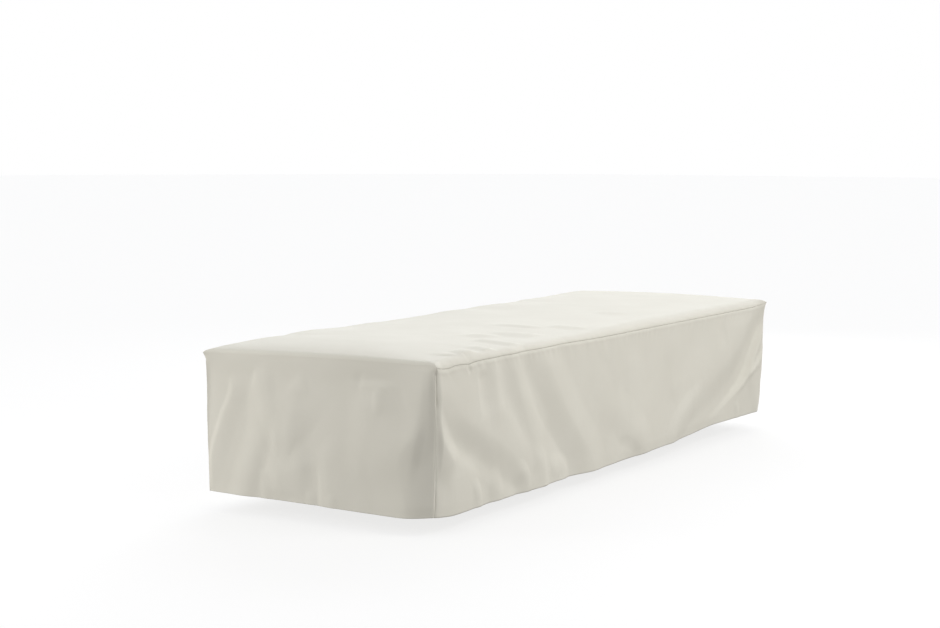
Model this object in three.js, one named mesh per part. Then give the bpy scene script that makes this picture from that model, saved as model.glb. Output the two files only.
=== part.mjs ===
import * as THREE from 'three';

// Chaise lounge cover: a fitted cloth cover in the shape in which it hangs, open underneath.
// Millimetres. X is across, Y runs from the front end (-Y) to the back end (+Y), Z is up.
// The origin is on the underside of the top, in its middle.
// Three pieces of cloth are sewn together: one long strip makes the front end, the top and the
// back end, and two side panels close it. Each is a sheet with the folds that the cloth hangs in.

// Driving sizes
const topWidth = 700;
const topLength = 2070;
const hemWidth = 680;
const hemLength = 2055;
const skirtDrop = 371;
const clothThickness = 1.6;

// The top's heights are measured from a level that puts the origin on the top's underside.
const topLevel = -4.5;
const seamLevel = topLevel - 12;
const seamGap = 0.5;

// The top turns down to the front end in a tight round and to the back end in a wide one,
// which is tighter beside the long seams.
const frontRoll = 6;
const backRoll = 20;
const cornerRoll = 6;
const cornerRollWidth = 70;

// Lower down the ends the turn to the upright seams grows gentle over this drop.
const gentleTurnDrop = 45;

// Each top corner is pulled out into a small pointed ear: outwards both ways and up.
const earReach = 7;
const earLift = 3;
const earFade = 21;

// Steps of the cloth grid
const cornerSteps = [0, 2, 6, 20];
const lengthZones = [
  { upTo: 60, cells: 1 },
  { upTo: 140, cells: 2 },
  { upTo: 180, cells: 2 },
  { upTo: 860, cells: 19 },
  { upTo: 1330, cells: 8 },
  { upTo: 2010, cells: 17 },
];
const dropSteps = [0, 5, 15, 32, 60, 92, 126, 160, 195, 230, 265, 300, 336, skirtDrop];
const edgeSteps = [0, 2, 7, 17, 32, 54, 90];
const middleCells = 9;

// Folds. A path runs through points of [distance along the panel, drop below the seam].
// height is how far the crest stands out, or the valley goes in.
// below and above are the widths on the lower and the upper side of a path that runs along the
// panel, and on the left and the right of one that runs down it.
// crease is 0 for a round crest and 1 for a pointed one.
// fadeIn and fadeOut are the lengths in which the fold grows and dies along its path.
const rightFolds = [
  { path: [[-72, 60], [-36, 104], [-2, 150], [38, 202], [74, 242], [100, 276]],
    height: 10.5, below: 76, above: 44, crease: 0.6, fadeIn: 20, fadeOut: 64 },
  { path: [[84, 240], [98, 300], [104, 400]],
    height: 4, below: 60, above: 130, crease: 0, fadeIn: 50, fadeOut: 0 },
  { path: [[-20, 84], [22, 126], [62, 168], [114, 205], [172, 238], [210, 270], [238, 308],
    [260, 345], [286, 400]],
    height: -4, below: 45, above: 70, crease: 0.6, fadeIn: 60, fadeOut: 0 },
  { path: [[40, 140], [140, 205], [245, 262], [325, 305], [395, 345], [445, 390]],
    height: -3.5, below: 44, above: 66, crease: 0.4, fadeIn: 100, fadeOut: 0 },
  { path: [[-90, 40], [40, 98], [135, 136], [225, 172], [305, 215], [385, 262], [445, 305],
    [474, 345], [492, 400]],
    height: 5.5, below: 78, above: 130, crease: 0.2, fadeIn: 110, fadeOut: 0 },
  { path: [[216, 20], [224, 70], [229, 110], [240, 160]],
    height: -4, below: 26, above: 60, crease: 0.7, fadeIn: 30, fadeOut: 60 },
  { path: [[268, -20], [283, 40], [288, 90], [298, 140], [315, 185]],
    height: 4, below: 50, above: 42, crease: 0.6, fadeIn: 30, fadeOut: 60 },
  { path: [[362, -50], [394, 30], [412, 90], [446, 135], [490, 185], [517, 218], [531, 262],
    [545, 310]],
    height: 5, below: 62, above: 70, crease: 0.4, fadeIn: 60, fadeOut: 100 },
  { path: [[290, -40], [330, 60], [375, 122], [430, 188], [500, 262]],
    height: -2.5, below: 50, above: 60, crease: 0.2, fadeIn: 60, fadeOut: 90 },
  { path: [[414, -60], [440, 22], [459, 66], [496, 128], [530, 180], [597, 241], [650, 290],
    [700, 342], [720, 400]],
    height: -6.5, below: 66, above: 96, crease: 1, fadeIn: 60, fadeOut: 0 },
  { path: [[508, -70], [562, 45], [628, 132], [678, 192], [748, 258], [803, 305], [831, 345],
    [850, 400]],
    height: 6.5, below: 92, above: 84, crease: 0.5, fadeIn: 130, fadeOut: 0 },
  { path: [[820, 40], [875, 125], [925, 200], [965, 270]],
    height: 2, below: 70, above: 60, crease: 0, fadeIn: 60, fadeOut: 90 },
  { path: [[1056, 40], [1068, 120], [1086, 200], [1120, 270]],
    height: 2.6, below: 60, above: 90, crease: 0, fadeIn: 60, fadeOut: 60 },
  { path: [[930, 180], [1010, 232], [1080, 280], [1130, 318], [1150, 350], [1158, 400]],
    height: 4.6, below: 74, above: 70, crease: 0.4, fadeIn: 110, fadeOut: 0 },
  { path: [[1040, 250], [1100, 296], [1170, 332], [1260, 348], [1340, 332], [1420, 282],
    [1500, 232]],
    height: 8.5, below: 110, above: 220, crease: 0, fadeIn: 110, fadeOut: 110 },
  { path: [[1345, 30], [1352, 110], [1362, 190], [1380, 250]],
    height: 3, below: 60, above: 130, crease: 0, fadeIn: 80, fadeOut: 60 },
  { path: [[1345, 400], [1352, 346], [1374, 318], [1420, 292], [1490, 262], [1580, 232]],
    height: 5, below: 76, above: 44, crease: 0.5, fadeIn: 30, fadeOut: 90 },
  { path: [[1400, 270], [1510, 226], [1600, 200], [1690, 170], [1780, 128], [1860, 80],
    [1930, 20], [1980, -60]],
    height: 8, below: 92, above: 170, crease: 0.1, fadeIn: 120, fadeOut: 60 },
  { path: [[1560, 338], [1660, 306], [1740, 278], [1810, 250], [1868, 218], [1912, 184],
    [1950, 142], [1994, 88], [2038, 36], [2080, -20]],
    height: -8, below: 34, above: 112, crease: 0.25, fadeIn: 400, fadeOut: 0 },
  { path: [[1700, 326], [1770, 306], [1840, 280], [1898, 247], [1936, 210], [1964, 170],
    [2004, 120], [2054, 70], [2084, 38]],
    height: 8.5, below: 260, above: 26, crease: 0.4, fadeIn: 340, fadeOut: 0 },
  { path: [[1915, 250], [1965, 222], [2015, 198], [2080, 165]],
    height: 5.5, below: 200, above: 26, crease: 0.4, fadeIn: 50, fadeOut: 0 },
  { path: [[1700, 30], [1722, 80], [1716, 130]],
    height: -1.6, below: 40, above: 40, crease: 0, fadeIn: 40, fadeOut: 50 },
  { path: [[470, 276], [512, 292], [540, 322], [552, 400]],
    height: 5, below: 46, above: 38, crease: 0.5, fadeIn: 50, fadeOut: 0 },
];

const leftFolds = [
  { path: [[-40, 80], [60, 190], [150, 270], [260, 330], [340, 400]],
    height: -5, below: 50, above: 90, crease: 0.3, fadeIn: 40, fadeOut: 0 },
  { path: [[420, -60], [500, 100], [580, 210], [690, 310], [760, 400]],
    height: 6, below: 90, above: 110, crease: 0.1, fadeIn: 140, fadeOut: 0 },
  { path: [[1020, 20], [1060, 160], [1110, 270], [1190, 380]],
    height: -4, below: 90, above: 90, crease: 0.2, fadeIn: 120, fadeOut: 60 },
  { path: [[1350, 340], [1500, 290], [1660, 220], [1800, 140], [1910, 30], [1960, -60]],
    height: 6, below: 95, above: 150, crease: 0, fadeIn: 120, fadeOut: 60 },
  { path: [[1560, 380], [1720, 320], [1860, 240], [1970, 140], [2100, -10]],
    height: -4.5, below: 40, above: 80, crease: 0.4, fadeIn: 120, fadeOut: 0 },
];

const frontFolds = [
  { path: [[90, 45], [88, 95], [75, 130], [59, 163], [44, 202], [29, 242], [10, 290], [-14, 340]],
    height: 3.6, below: 16, above: 52, crease: 0.6, fadeIn: 50, fadeOut: 0 },
  { path: [[166, 20], [180, 70], [186, 120], [182, 190], [158, 260], [130, 330], [112, 400]],
    height: 5, below: 56, above: 44, crease: 0.2, fadeIn: 60, fadeOut: 0 },
  { path: [[176, 214], [206, 196], [250, 184], [306, 190], [346, 208]],
    height: 6.5, below: 84, above: 150, crease: 0.3, fadeIn: 50, fadeOut: 70 },
  { path: [[286, 42], [304, 66], [318, 110]],
    height: 1.8, below: 60, above: 22, crease: 0.3, fadeIn: 30, fadeOut: 40 },
  { path: [[184, 306], [250, 298], [300, 292], [352, 290]],
    height: 2.6, below: 44, above: 90, crease: 0.3, fadeIn: 50, fadeOut: 50 },
  { path: [[348, 256], [356, 300], [358, 400]],
    height: -2.6, below: 66, above: 12, crease: 0.4, fadeIn: 40, fadeOut: 0 },
  { path: [[366, 205], [392, 250], [398, 310], [400, 400]],
    height: 2.6, below: 34, above: 70, crease: 0.4, fadeIn: 50, fadeOut: 0 },
  { path: [[500, 66], [506, 112], [508, 170], [502, 240], [500, 330]],
    height: 3.4, below: 66, above: 110, crease: 0.2, fadeIn: 50, fadeOut: 80 },
  { path: [[542, 24], [562, 74], [600, 106], [648, 134], [690, 150]],
    height: 6.5, below: 62, above: 100, crease: 0.5, fadeIn: 60, fadeOut: 40 },
  { path: [[655, 20], [657, 130], [640, 175], [614, 213], [606, 250], [616, 290], [624, 335],
    [624, 400]],
    height: 7, below: 100, above: 70, crease: 0.9, fadeIn: 96, fadeOut: 0 },
  { path: [[420, -40], [424, 200], [420, 400]],
    height: 5, below: 330, above: 270, crease: 0, fadeIn: 300, fadeOut: 0 },
];

const backFolds = [
  { path: [[110, -10], [140, 120], [120, 240], [90, 400]],
    height: 5, below: 65, above: 60, crease: 0.1, fadeIn: 90, fadeOut: 0 },
  { path: [[330, 60], [350, 200], [340, 320], [350, 400]],
    height: -3.5, below: 70, above: 60, crease: 0.2, fadeIn: 100, fadeOut: 0 },
  { path: [[560, 0], [540, 140], [580, 260], [620, 400]],
    height: 5, below: 60, above: 80, crease: 0.1, fadeIn: 90, fadeOut: 0 },
];

// Rise of each long seam over the seam level, with the pucker near the front of the right one
const rightSeamRise = [
  { at: 0, rise: 1 }, { at: 22, rise: -2 }, { at: 60, rise: -1.6 }, { at: 140, rise: -1 },
  { at: 157, rise: -3.5 }, { at: 176, rise: -0.5 }, { at: 350, rise: -1 },
  { at: 680, rise: -0.8 }, { at: 760, rise: -2.6 }, { at: 900, rise: -4.5 },
  { at: 1200, rise: -5 }, { at: 1785, rise: -6 }, { at: 2030, rise: -4.5 }, { at: 2070, rise: 0 },
];
const leftSeamRise = [
  { at: 0, rise: -4 }, { at: 60, rise: -8 }, { at: 700, rise: -5 }, { at: 1400, rise: -7 },
  { at: 2020, rise: -5 }, { at: 2070, rise: 0 },
];

// How much longer or shorter the skirt hangs than the plain drop
const rightHem = [
  { at: 0, longer: 0 }, { at: 80, longer: 4 }, { at: 670, longer: 5 }, { at: 900, longer: 9 },
  { at: 1100, longer: 6 }, { at: 1470, longer: -1 }, { at: 1700, longer: -10 },
  { at: 2070, longer: -8 },
];
const leftHem = [
  { at: 0, longer: -3 }, { at: 500, longer: 3 }, { at: 1200, longer: 5 }, { at: 2070, longer: -4 },
];
const frontHem = [
  { at: 0, longer: -3 }, { at: 350, longer: 0 }, { at: 600, longer: 5 }, { at: 700, longer: 0 },
];
const backHem = [
  { at: 0, longer: -4 }, { at: 350, longer: 1 }, { at: 700, longer: -8 },
];

// How far each upright seam sits in from the plain box, lower down the skirt
const cornerInset = {
  frontRight: [
    { at: 0, x: 0, y: 0 }, { at: 30, x: 0.5, y: 2 }, { at: 60, x: 0.5, y: 5 },
    { at: 120, x: 1, y: 9 }, { at: 220, x: 6, y: 17 }, { at: 300, x: 9, y: 19 },
    { at: 371, x: 9, y: 18 },
  ],
  frontLeft: [
    { at: 0, x: -4, y: 0 }, { at: 60, x: -8, y: 1 }, { at: 200, x: -14, y: 3 },
    { at: 371, x: -19, y: 4 },
  ],
  backRight: [
    { at: 0, x: 0, y: 0 }, { at: 60, x: 0.5, y: -5 }, { at: 200, x: 2, y: -11 },
    { at: 300, x: 3, y: -11 }, { at: 371, x: 3, y: -2 },
  ],
  backLeft: [
    { at: 0, x: 0, y: 0 }, { at: 200, x: 2, y: 3 }, { at: 371, x: 3, y: 6 },
  ],
};

// Height of the top's outer face beside the left seam
const leftEdgeRise = [
  { at: 0, height: -7 }, { at: 20, height: -3 }, { at: 40, height: -0.5 }, { at: 80, height: 2 },
  { at: 130, height: 4 }, { at: 200, height: 5.5 }, { at: 250, height: 5 },
  { at: 285, height: 3.8 }, { at: 330, height: 6.8 }, { at: 400, height: 8.5 },
  { at: 450, height: 7 }, { at: 520, height: 4 }, { at: 560, height: 2.8 },
  { at: 620, height: 3 }, { at: 700, height: 3.6 }, { at: 760, height: 1.6 },
  { at: 900, height: 1.4 }, { at: 1000, height: 2 }, { at: 1130, height: 5 },
  { at: 1240, height: 2.4 }, { at: 1330, height: 5 }, { at: 1400, height: 4.4 },
  { at: 1480, height: 1.3 }, { at: 1560, height: 0.8 }, { at: 1620, height: 3.4 },
  { at: 1740, height: 1.6 }, { at: 1850, height: 3 }, { at: 2000, height: 5 },
  { at: 2070, height: -1 },
];

// The top's outer face, by distance along: its height in the middle and beside the right seam,
// and how far the soft turn down to each seam reaches in
const topShape = [
  { at: 0, middle: 3, right: -5, leftRoll: 30, rightRoll: 20 },
  { at: 20, middle: 7.2, right: -2.6, leftRoll: 32, rightRoll: 20 },
  { at: 40, middle: 10.4, right: -1.2, leftRoll: 36, rightRoll: 20 },
  { at: 80, middle: 13.6, right: -0.4, leftRoll: 40, rightRoll: 20 },
  { at: 130, middle: 15.4, right: -0.4, leftRoll: 42, rightRoll: 20 },
  { at: 200, middle: 16.6, right: -0.6, leftRoll: 42, rightRoll: 20 },
  { at: 300, middle: 16, right: -1, leftRoll: 42, rightRoll: 21 },
  { at: 450, middle: 13.4, right: -1, leftRoll: 42, rightRoll: 22 },
  { at: 600, middle: 9.8, right: 0, leftRoll: 42, rightRoll: 24 },
  { at: 860, middle: 7.2, right: 1, leftRoll: 42, rightRoll: 32 },
  { at: 1035, middle: 6.1, right: 3, leftRoll: 42, rightRoll: 39 },
  { at: 1110, middle: 6, right: 4, leftRoll: 42, rightRoll: 42 },
  { at: 1540, middle: 7, right: 1.5, leftRoll: 42, rightRoll: 40 },
  { at: 2000, middle: 9, right: 0, leftRoll: 40, rightRoll: 36 },
  { at: 2070, middle: 6.5, right: -2, leftRoll: 30, rightRoll: 30 },
];

// The lowest cloth turns in a little at the hem.
const hemTuck = { above: 36, depth: 1.2 };

// Cloth near an upright seam settles towards it over this width, narrow at the top. The left
// side settles over a wider one.
const cornerSettle = { top: 34, hem: 70, grows: 200 };
const wideSettle = { top: 220, hem: 220, grows: 200 };
const cornerShift = 200;
const foldEdgeFade = 18;
const backEdgeFade = 46;
const creaseRadius = 4;
const seamShareOfFold = 0.5;
const seamShareFade = 60;

function smoothStep(value) {
  return THREE.MathUtils.smoothstep(value, 0, 1);
}

function mix(a, b, share) {
  return a + (b - a) * share;
}

// Slope of a table's column at a row: the harmonic mean of the slopes on both sides,
// nought where they turn, and plain at the table's ends
function tableSlope(rows, column, k) {
  const slopeFrom = (i) => (rows[i + 1][column] - rows[i][column]) / (rows[i + 1].at - rows[i].at);
  const before = slopeFrom(Math.max(k - 1, 0));
  const after = slopeFrom(Math.min(k, rows.length - 2));
  return before * after > 0 ? 2 * before * after / (before + after) : 0;
}

// Value of a table's column at a distance: a cubic from row to row
function readTable(rows, column, at) {
  let k = 0;
  while (k < rows.length - 2 && at > rows[k + 1].at) {
    k += 1;
  }
  const gap = rows[k + 1].at - rows[k].at;
  const t = THREE.MathUtils.clamp((at - rows[k].at) / gap, 0, 1);
  const leave = t * (1 - t) ** 2 * gap * tableSlope(rows, column, k);
  const arrive = t ** 2 * (1 - t) * gap * tableSlope(rows, column, k + 1);
  return mix(rows[k][column], rows[k + 1][column], smoothStep(t)) + leave - arrive;
}

// Height of a crest or valley that is creased: an even slope that eases out in its last quarter
function creased(across) {
  const even = 0.75;
  const slope = 2 / (1 + even);
  return across < even ? 1 - slope * across : (1 - across) ** 2 * slope / (2 * (1 - even));
}

// One fold's height at a point: its profile across the path times its growth along it
function foldHeight(fold, at) {
  let nearest = Infinity;
  let side = 0;
  let travelled = 0;
  let along = 0;
  for (let k = 0; k < fold.line.length - 1; k += 1) {
    const step = fold.line[k + 1].clone().sub(fold.line[k]);
    const offset = at.clone().sub(fold.line[k]);
    const share = THREE.MathUtils.clamp(offset.dot(step) / step.lengthSq(), 0, 1);
    const gapTo = offset.sub(step.clone().multiplyScalar(share));
    if (gapTo.length() < nearest) {
      nearest = gapTo.length();
      side = step.cross(gapTo);
      along = travelled + share * step.length();
    }
    travelled += step.length();
  }
  const width = side > 0 ? fold.below : fold.above;
  const away = Math.hypot(nearest, creaseRadius) - creaseRadius;
  const across = Math.min(away / width, 1);
  const round = Math.cos(across * Math.PI / 2) ** 2;
  let height = fold.height * mix(round, creased(across), fold.crease);
  if (fold.fadeIn > 0) {
    height *= smoothStep(along / fold.fadeIn);
  }
  if (fold.fadeOut > 0) {
    height *= smoothStep((travelled - along) / fold.fadeOut);
  }
  return height;
}

function prepareFolds(rows) {
  const pathSteps = 36;
  return rows.map((row) => {
    const points = row.path.map(([along, drop]) => new THREE.Vector2(along, drop));
    return { ...row, line: new THREE.SplineCurve(points).getPoints(pathSteps) };
  });
}

function foldField(folds, along, drop) {
  const at = new THREE.Vector2(along, drop);
  return folds.reduce((sum, fold) => sum + foldHeight(fold, at), 0);
}

function hemTuckAt(drop) {
  return hemTuck.depth * smoothStep((drop - skirtDrop + hemTuck.above) / hemTuck.above);
}

function halfWidthAt(drop) {
  return mix(topWidth, hemWidth, drop / skirtDrop) / 2;
}

function halfLengthAt(drop) {
  return mix(topLength, hemLength, drop / skirtDrop) / 2;
}

function endRollAt(across, roll) {
  const fromSeam = Math.min(across, topWidth - across);
  return mix(cornerRoll, roll, smoothStep(fromSeam / cornerRollWidth));
}

// Pulls a point towards the nearest top corner, by its distance from that corner along the cloth
function pullEar(point, fromSide, fromEnd) {
  const pull = Math.exp(-Math.hypot(fromSide, fromEnd) / earFade);
  point.x += Math.sign(point.x) * earReach * pull;
  point.y += Math.sign(point.y) * earReach * pull;
  point.z += earLift * pull;
  return point;
}

// A side panel's description: hand is +1 for the right side and -1 for the left one
const sides = {
  right: {
    hand: 1, folds: prepareFolds(rightFolds), seam: rightSeamRise, hem: rightHem,
    front: cornerInset.frontRight, back: cornerInset.backRight, settle: cornerSettle,
  },
  left: {
    hand: -1, folds: prepareFolds(leftFolds), seam: leftSeamRise, hem: leftHem,
    front: cornerInset.frontLeft, back: cornerInset.backLeft, settle: wideSettle,
  },
};

// An end's description: hand is -1 for the front end and +1 for the back one
const ends = {
  front: {
    hand: -1, folds: prepareFolds(frontFolds), hem: frontHem, roll: frontRoll,
    left: cornerInset.frontLeft, right: cornerInset.frontRight,
  },
  back: {
    hand: 1, folds: prepareFolds(backFolds), hem: backHem, roll: backRoll,
    left: cornerInset.backLeft, right: cornerInset.backRight,
  },
};

// How far the folds push a side panel out, eased off towards the upright seams and the long seam
function sideFolds(side, along, drop) {
  const edge = smoothStep(along / foldEdgeFade) * smoothStep((topLength - along) / backEdgeFade);
  const seam = mix(seamShareOfFold, 1, smoothStep(drop / seamShareFade));
  return foldField(side.folds, along, drop) * edge * seam;
}

function settleAt(fromEdge, drop, settle) {
  const grown = smoothStep(drop / settle.grows);
  const reach = mix(settle.top, settle.hem, grown);
  return Math.max(1 - fromEdge / reach, 0) ** 2;
}

// A point of a side panel's outer face, before its ears
function plainSidePoint(side, along, drop) {
  const toBack = topLength - along;
  const insetX = readTable(side.front, 'x', drop) * settleAt(along, drop, side.settle)
    + readTable(side.back, 'x', drop) * settleAt(toBack, drop, side.settle);
  const out = halfWidthAt(drop) + sideFolds(side, along, drop) - insetX - hemTuckAt(drop);
  const frontShift = readTable(side.front, 'y', drop) * Math.max(1 - along / cornerShift, 0) ** 2;
  const backShift = readTable(side.back, 'y', drop) * Math.max(1 - toBack / cornerShift, 0) ** 2;
  const halfLength = halfLengthAt(drop) - hemTuckAt(drop);
  const y = mix(-halfLength, halfLength, along / topLength) + frontShift - backShift;
  const top = seamLevel + readTable(side.seam, 'rise', along);
  const bottom = seamLevel - skirtDrop - readTable(side.hem, 'longer', along);
  return new THREE.Vector3(side.hand * out, y, mix(top, bottom, drop / skirtDrop));
}

function sidePoint(side, along, drop) {
  const fromEnd = Math.min(along, topLength - along);
  return pullEar(plainSidePoint(side, along, drop), drop, fromEnd);
}

// Height of the top's outer face: a line from its left height to its right one, plus a parabola
// that brings the middle to its own height
function topHeight(across, along) {
  const share = across / topWidth;
  const left = readTable(leftEdgeRise, 'height', along);
  const right = readTable(topShape, 'right', along);
  const bulge = readTable(topShape, 'middle', along) - (left + right) / 2;
  return topLevel + mix(left, right, share) + 4 * bulge * share * (1 - share);
}

// A point of an end's outer face: its y anywhere, and its z away from the upright seams
function endFace(end, across, drop) {
  const along = end.hand < 0 ? 0 : topLength;
  const edge = Math.min(across, topWidth - across);
  const fade = smoothStep(edge / foldEdgeFade) * smoothStep(drop / foldEdgeFade);
  const inset = readTable(end.left, 'y', drop) * settleAt(across, drop, cornerSettle)
    + readTable(end.right, 'y', drop) * settleAt(topWidth - across, drop, cornerSettle);
  const out = halfLengthAt(drop) + foldField(end.folds, across, drop) * fade
    - inset - hemTuckAt(drop);
  const top = topHeight(across, along) - endRollAt(across, end.roll);
  const bottom = seamLevel - skirtDrop - readTable(end.hem, 'longer', across);
  return { y: end.hand * out, z: mix(top, bottom, drop / skirtDrop) };
}

// A point of the top's outer face, away from its long seams: flat, with a round turn at each end
function topFace(across, along) {
  const toEnd = Math.min(along, topLength - along);
  const roll = endRollAt(across, along < topLength / 2 ? frontRoll : backRoll);
  const turn = Math.max(roll - toEnd, 0);
  const sunk = roll - Math.sqrt(roll ** 2 - turn ** 2);
  return { y: along - topLength / 2, z: topHeight(across, along) - sunk };
}

// Rows of the strip: up the front end, along the top and down the back end
function stripRows(lengthSteps) {
  const down = dropSteps.slice(1);
  const front = down.slice().reverse().map((drop) => ({ end: ends.front, along: 0, drop }));
  const top = lengthSteps.map((along) => ({ end: null, along, drop: 0 }));
  const back = down.map((drop) => ({ end: ends.back, along: topLength, drop }));
  return [...front, ...top, ...back];
}

// A point of the strip's outer face. Near each edge its height turns down to the seam:
// in a quarter of an ellipse on the top, and in a gentler curve lower down on the ends.
function stripPoint(row, across) {
  const seamLeft = plainSidePoint(sides.left, row.along, row.drop);
  const seamRight = plainSidePoint(sides.right, row.along, row.drop);
  const face = row.end ? endFace(row.end, across, row.drop) : topFace(across, row.along);
  const fromRight = topWidth - across;
  const seam = fromRight < across ? seamRight : seamLeft;
  const fromSeam = Math.min(across, fromRight);
  const reach = readTable(topShape, fromRight < across ? 'rightRoll' : 'leftRoll', row.along);
  const outward = 1 - Math.min(fromSeam / reach, 1);
  const rolled = Math.sqrt(1 - outward ** 2);
  const gentle = 1 - outward ** 2;
  const share = mix(rolled, gentle, smoothStep(row.drop / gentleTurnDrop));
  const x = mix(seamLeft.x, seamRight.x, across / topWidth);
  const point = new THREE.Vector3(x, face.y, mix(seam.z, face.z, share));
  const fromEnd = row.end ? row.drop : Math.min(row.along, topLength - row.along);
  return pullEar(point, fromSeam, fromEnd);
}

function lengthStations() {
  const steps = [...cornerSteps];
  for (const zone of lengthZones) {
    const from = steps[steps.length - 1];
    for (let k = 1; k <= zone.cells; k += 1) {
      steps.push(mix(from, zone.upTo, k / zone.cells));
    }
  }
  const last = cornerSteps.slice().reverse();
  return [...steps, ...last.map((step) => topLength - step)];
}

function acrossStations() {
  const edge = edgeSteps[edgeSteps.length - 1];
  const steps = [...edgeSteps];
  for (let k = 1; k < middleCells; k += 1) {
    steps.push(mix(edge, topWidth - edge, k / middleCells));
  }
  const last = edgeSteps.slice().reverse();
  return [...steps, ...last.map((step) => topWidth - step)];
}

// Outward normal at each point of a grid of rows
function gridNormals(grid, facing) {
  return grid.map((row, i) => row.map((point, j) => {
    const downRow = grid[Math.min(i + 1, grid.length - 1)][j];
    const upRow = grid[Math.max(i - 1, 0)][j];
    const right = row[Math.min(j + 1, row.length - 1)];
    const left = row[Math.max(j - 1, 0)];
    const alongRows = downRow.clone().sub(upRow);
    const alongRow = right.clone().sub(left);
    return alongRow.cross(alongRows).multiplyScalar(facing).normalize();
  }));
}

function insetVectors(normals) {
  return normals.map((row) => row.map((normal) => normal.clone().multiplyScalar(-clothThickness)));
}

// Inward step at a seam that keeps both sheets at full thickness: the mitre of their two faces.
// Where they close up like a wedge the step is kept short.
function mitre(normalA, normalB) {
  const shortest = 0.5;
  const both = normalA.clone().add(normalB);
  return both.multiplyScalar(-clothThickness / Math.max(1 + normalA.dot(normalB), shortest));
}

// A closed sheet: the outer grid, the inner grid behind it and a narrow wall around the edge
function sheetGeometry(outer, insets, facing) {
  const rows = outer.length;
  const columns = outer[0].length;
  const inner = outer.map((row, i) => row.map((point, j) => point.clone().add(insets[i][j])));
  const points = [...outer.flat(), ...inner.flat()];
  const indices = [];
  const corner = (layer, i, j) => layer * rows * columns + i * columns + j;
  const quad = (a, b, c, d) => {
    if (facing > 0) {
      indices.push(a, b, c, a, c, d);
    } else {
      indices.push(a, c, b, a, d, c);
    }
  };
  for (let i = 0; i < rows - 1; i += 1) {
    for (let j = 0; j < columns - 1; j += 1) {
      quad(corner(0, i, j), corner(0, i, j + 1), corner(0, i + 1, j + 1), corner(0, i + 1, j));
      quad(corner(1, i, j), corner(1, i + 1, j), corner(1, i + 1, j + 1), corner(1, i, j + 1));
    }
  }
  for (let j = 0; j < columns - 1; j += 1) {
    const last = rows - 1;
    quad(corner(0, 0, j), corner(1, 0, j), corner(1, 0, j + 1), corner(0, 0, j + 1));
    quad(corner(0, last, j), corner(0, last, j + 1), corner(1, last, j + 1), corner(1, last, j));
  }
  for (let i = 0; i < rows - 1; i += 1) {
    const last = columns - 1;
    quad(corner(0, i, 0), corner(0, i + 1, 0), corner(1, i + 1, 0), corner(1, i, 0));
    quad(corner(0, i, last), corner(1, i, last), corner(1, i + 1, last), corner(0, i + 1, last));
  }
  const geometry = new THREE.BufferGeometry().setFromPoints(points);
  geometry.setIndex(indices);
  geometry.computeVertexNormals();
  return geometry;
}

function sidePanelGrid(side, lengthSteps) {
  return dropSteps.map((drop) => lengthSteps.map((along) => sidePoint(side, along, drop)));
}

function stripGrid(rows, acrossSteps) {
  return rows.map((row) => acrossSteps.map((across) => stripPoint(row, across)));
}

// The seam runs up the front corner, along the long edge and down the back corner.
// For each strip row this gives the side panel's grid place that is sewn to it.
function seamPlaces(rows, lengthSteps) {
  const lastColumn = lengthSteps.length - 1;
  return rows.map((row) => {
    if (row.end) {
      return { i: dropSteps.indexOf(row.drop), j: row.end.hand < 0 ? 0 : lastColumn };
    }
    return { i: 0, j: lengthSteps.indexOf(row.along) };
  });
}

// Draws a seam point back into its own sheet, towards the point next to it
function drawBack(point, towards) {
  const step = towards.clone().sub(point).normalize();
  return point.clone().addScaledVector(step, seamGap / 2);
}

function buildPanels() {
  const lengthSteps = lengthStations();
  const acrossSteps = acrossStations();
  const rows = stripRows(lengthSteps);
  const places = seamPlaces(rows, lengthSteps);
  const lastAcross = acrossSteps.length - 1;
  const lastAlong = lengthSteps.length - 1;
  const strip = stripGrid(rows, acrossSteps);
  const stripFacing = 1;
  const stripNormals = gridNormals(strip, stripFacing);
  const stripInsets = insetVectors(stripNormals);
  const stripOuter = strip.map((row) => row.map((point) => point.clone()));
  const panels = {};
  for (const [name, side] of Object.entries(sides)) {
    const edge = side.hand > 0 ? lastAcross : 0;
    const next = side.hand > 0 ? lastAcross - 1 : 1;
    const facing = -side.hand;
    const grid = sidePanelGrid(side, lengthSteps);
    const normals = gridNormals(grid, facing);
    const insets = insetVectors(normals);
    const outer = grid.map((row) => row.map((point) => point.clone()));
    places.forEach((place, k) => {
      const step = mitre(stripNormals[k][edge], normals[place.i][place.j]);
      stripInsets[k][edge] = step;
      insets[place.i][place.j] = step;
      stripOuter[k][edge] = drawBack(strip[k][edge], strip[k][next]);
      const i = place.i === 0 ? 1 : place.i;
      const j = THREE.MathUtils.clamp(place.j, 1, lastAlong - 1);
      outer[place.i][place.j] = drawBack(grid[place.i][place.j], grid[i][j]);
    });
    panels[name] = sheetGeometry(outer, insets, facing);
  }
  panels.strip = sheetGeometry(stripOuter, stripInsets, stripFacing);
  return panels;
}

function clothMaterial(colour) {
  return new THREE.MeshStandardMaterial({ color: colour, roughness: 0.85, metalness: 0 });
}

function namedMesh(name, geometry, colour) {
  const mesh = new THREE.Mesh(geometry, clothMaterial(colour));
  mesh.name = name;
  return mesh;
}

const panels = buildPanels();
const cover = new THREE.Group();
cover.add(namedMesh('centre_panel', panels.strip, '#e6e3da'));
cover.add(namedMesh('right_side_panel', panels.right, '#dcd9cd'));
cover.add(namedMesh('left_side_panel', panels.left, '#dcd9cd'));

export default cover;
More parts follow.
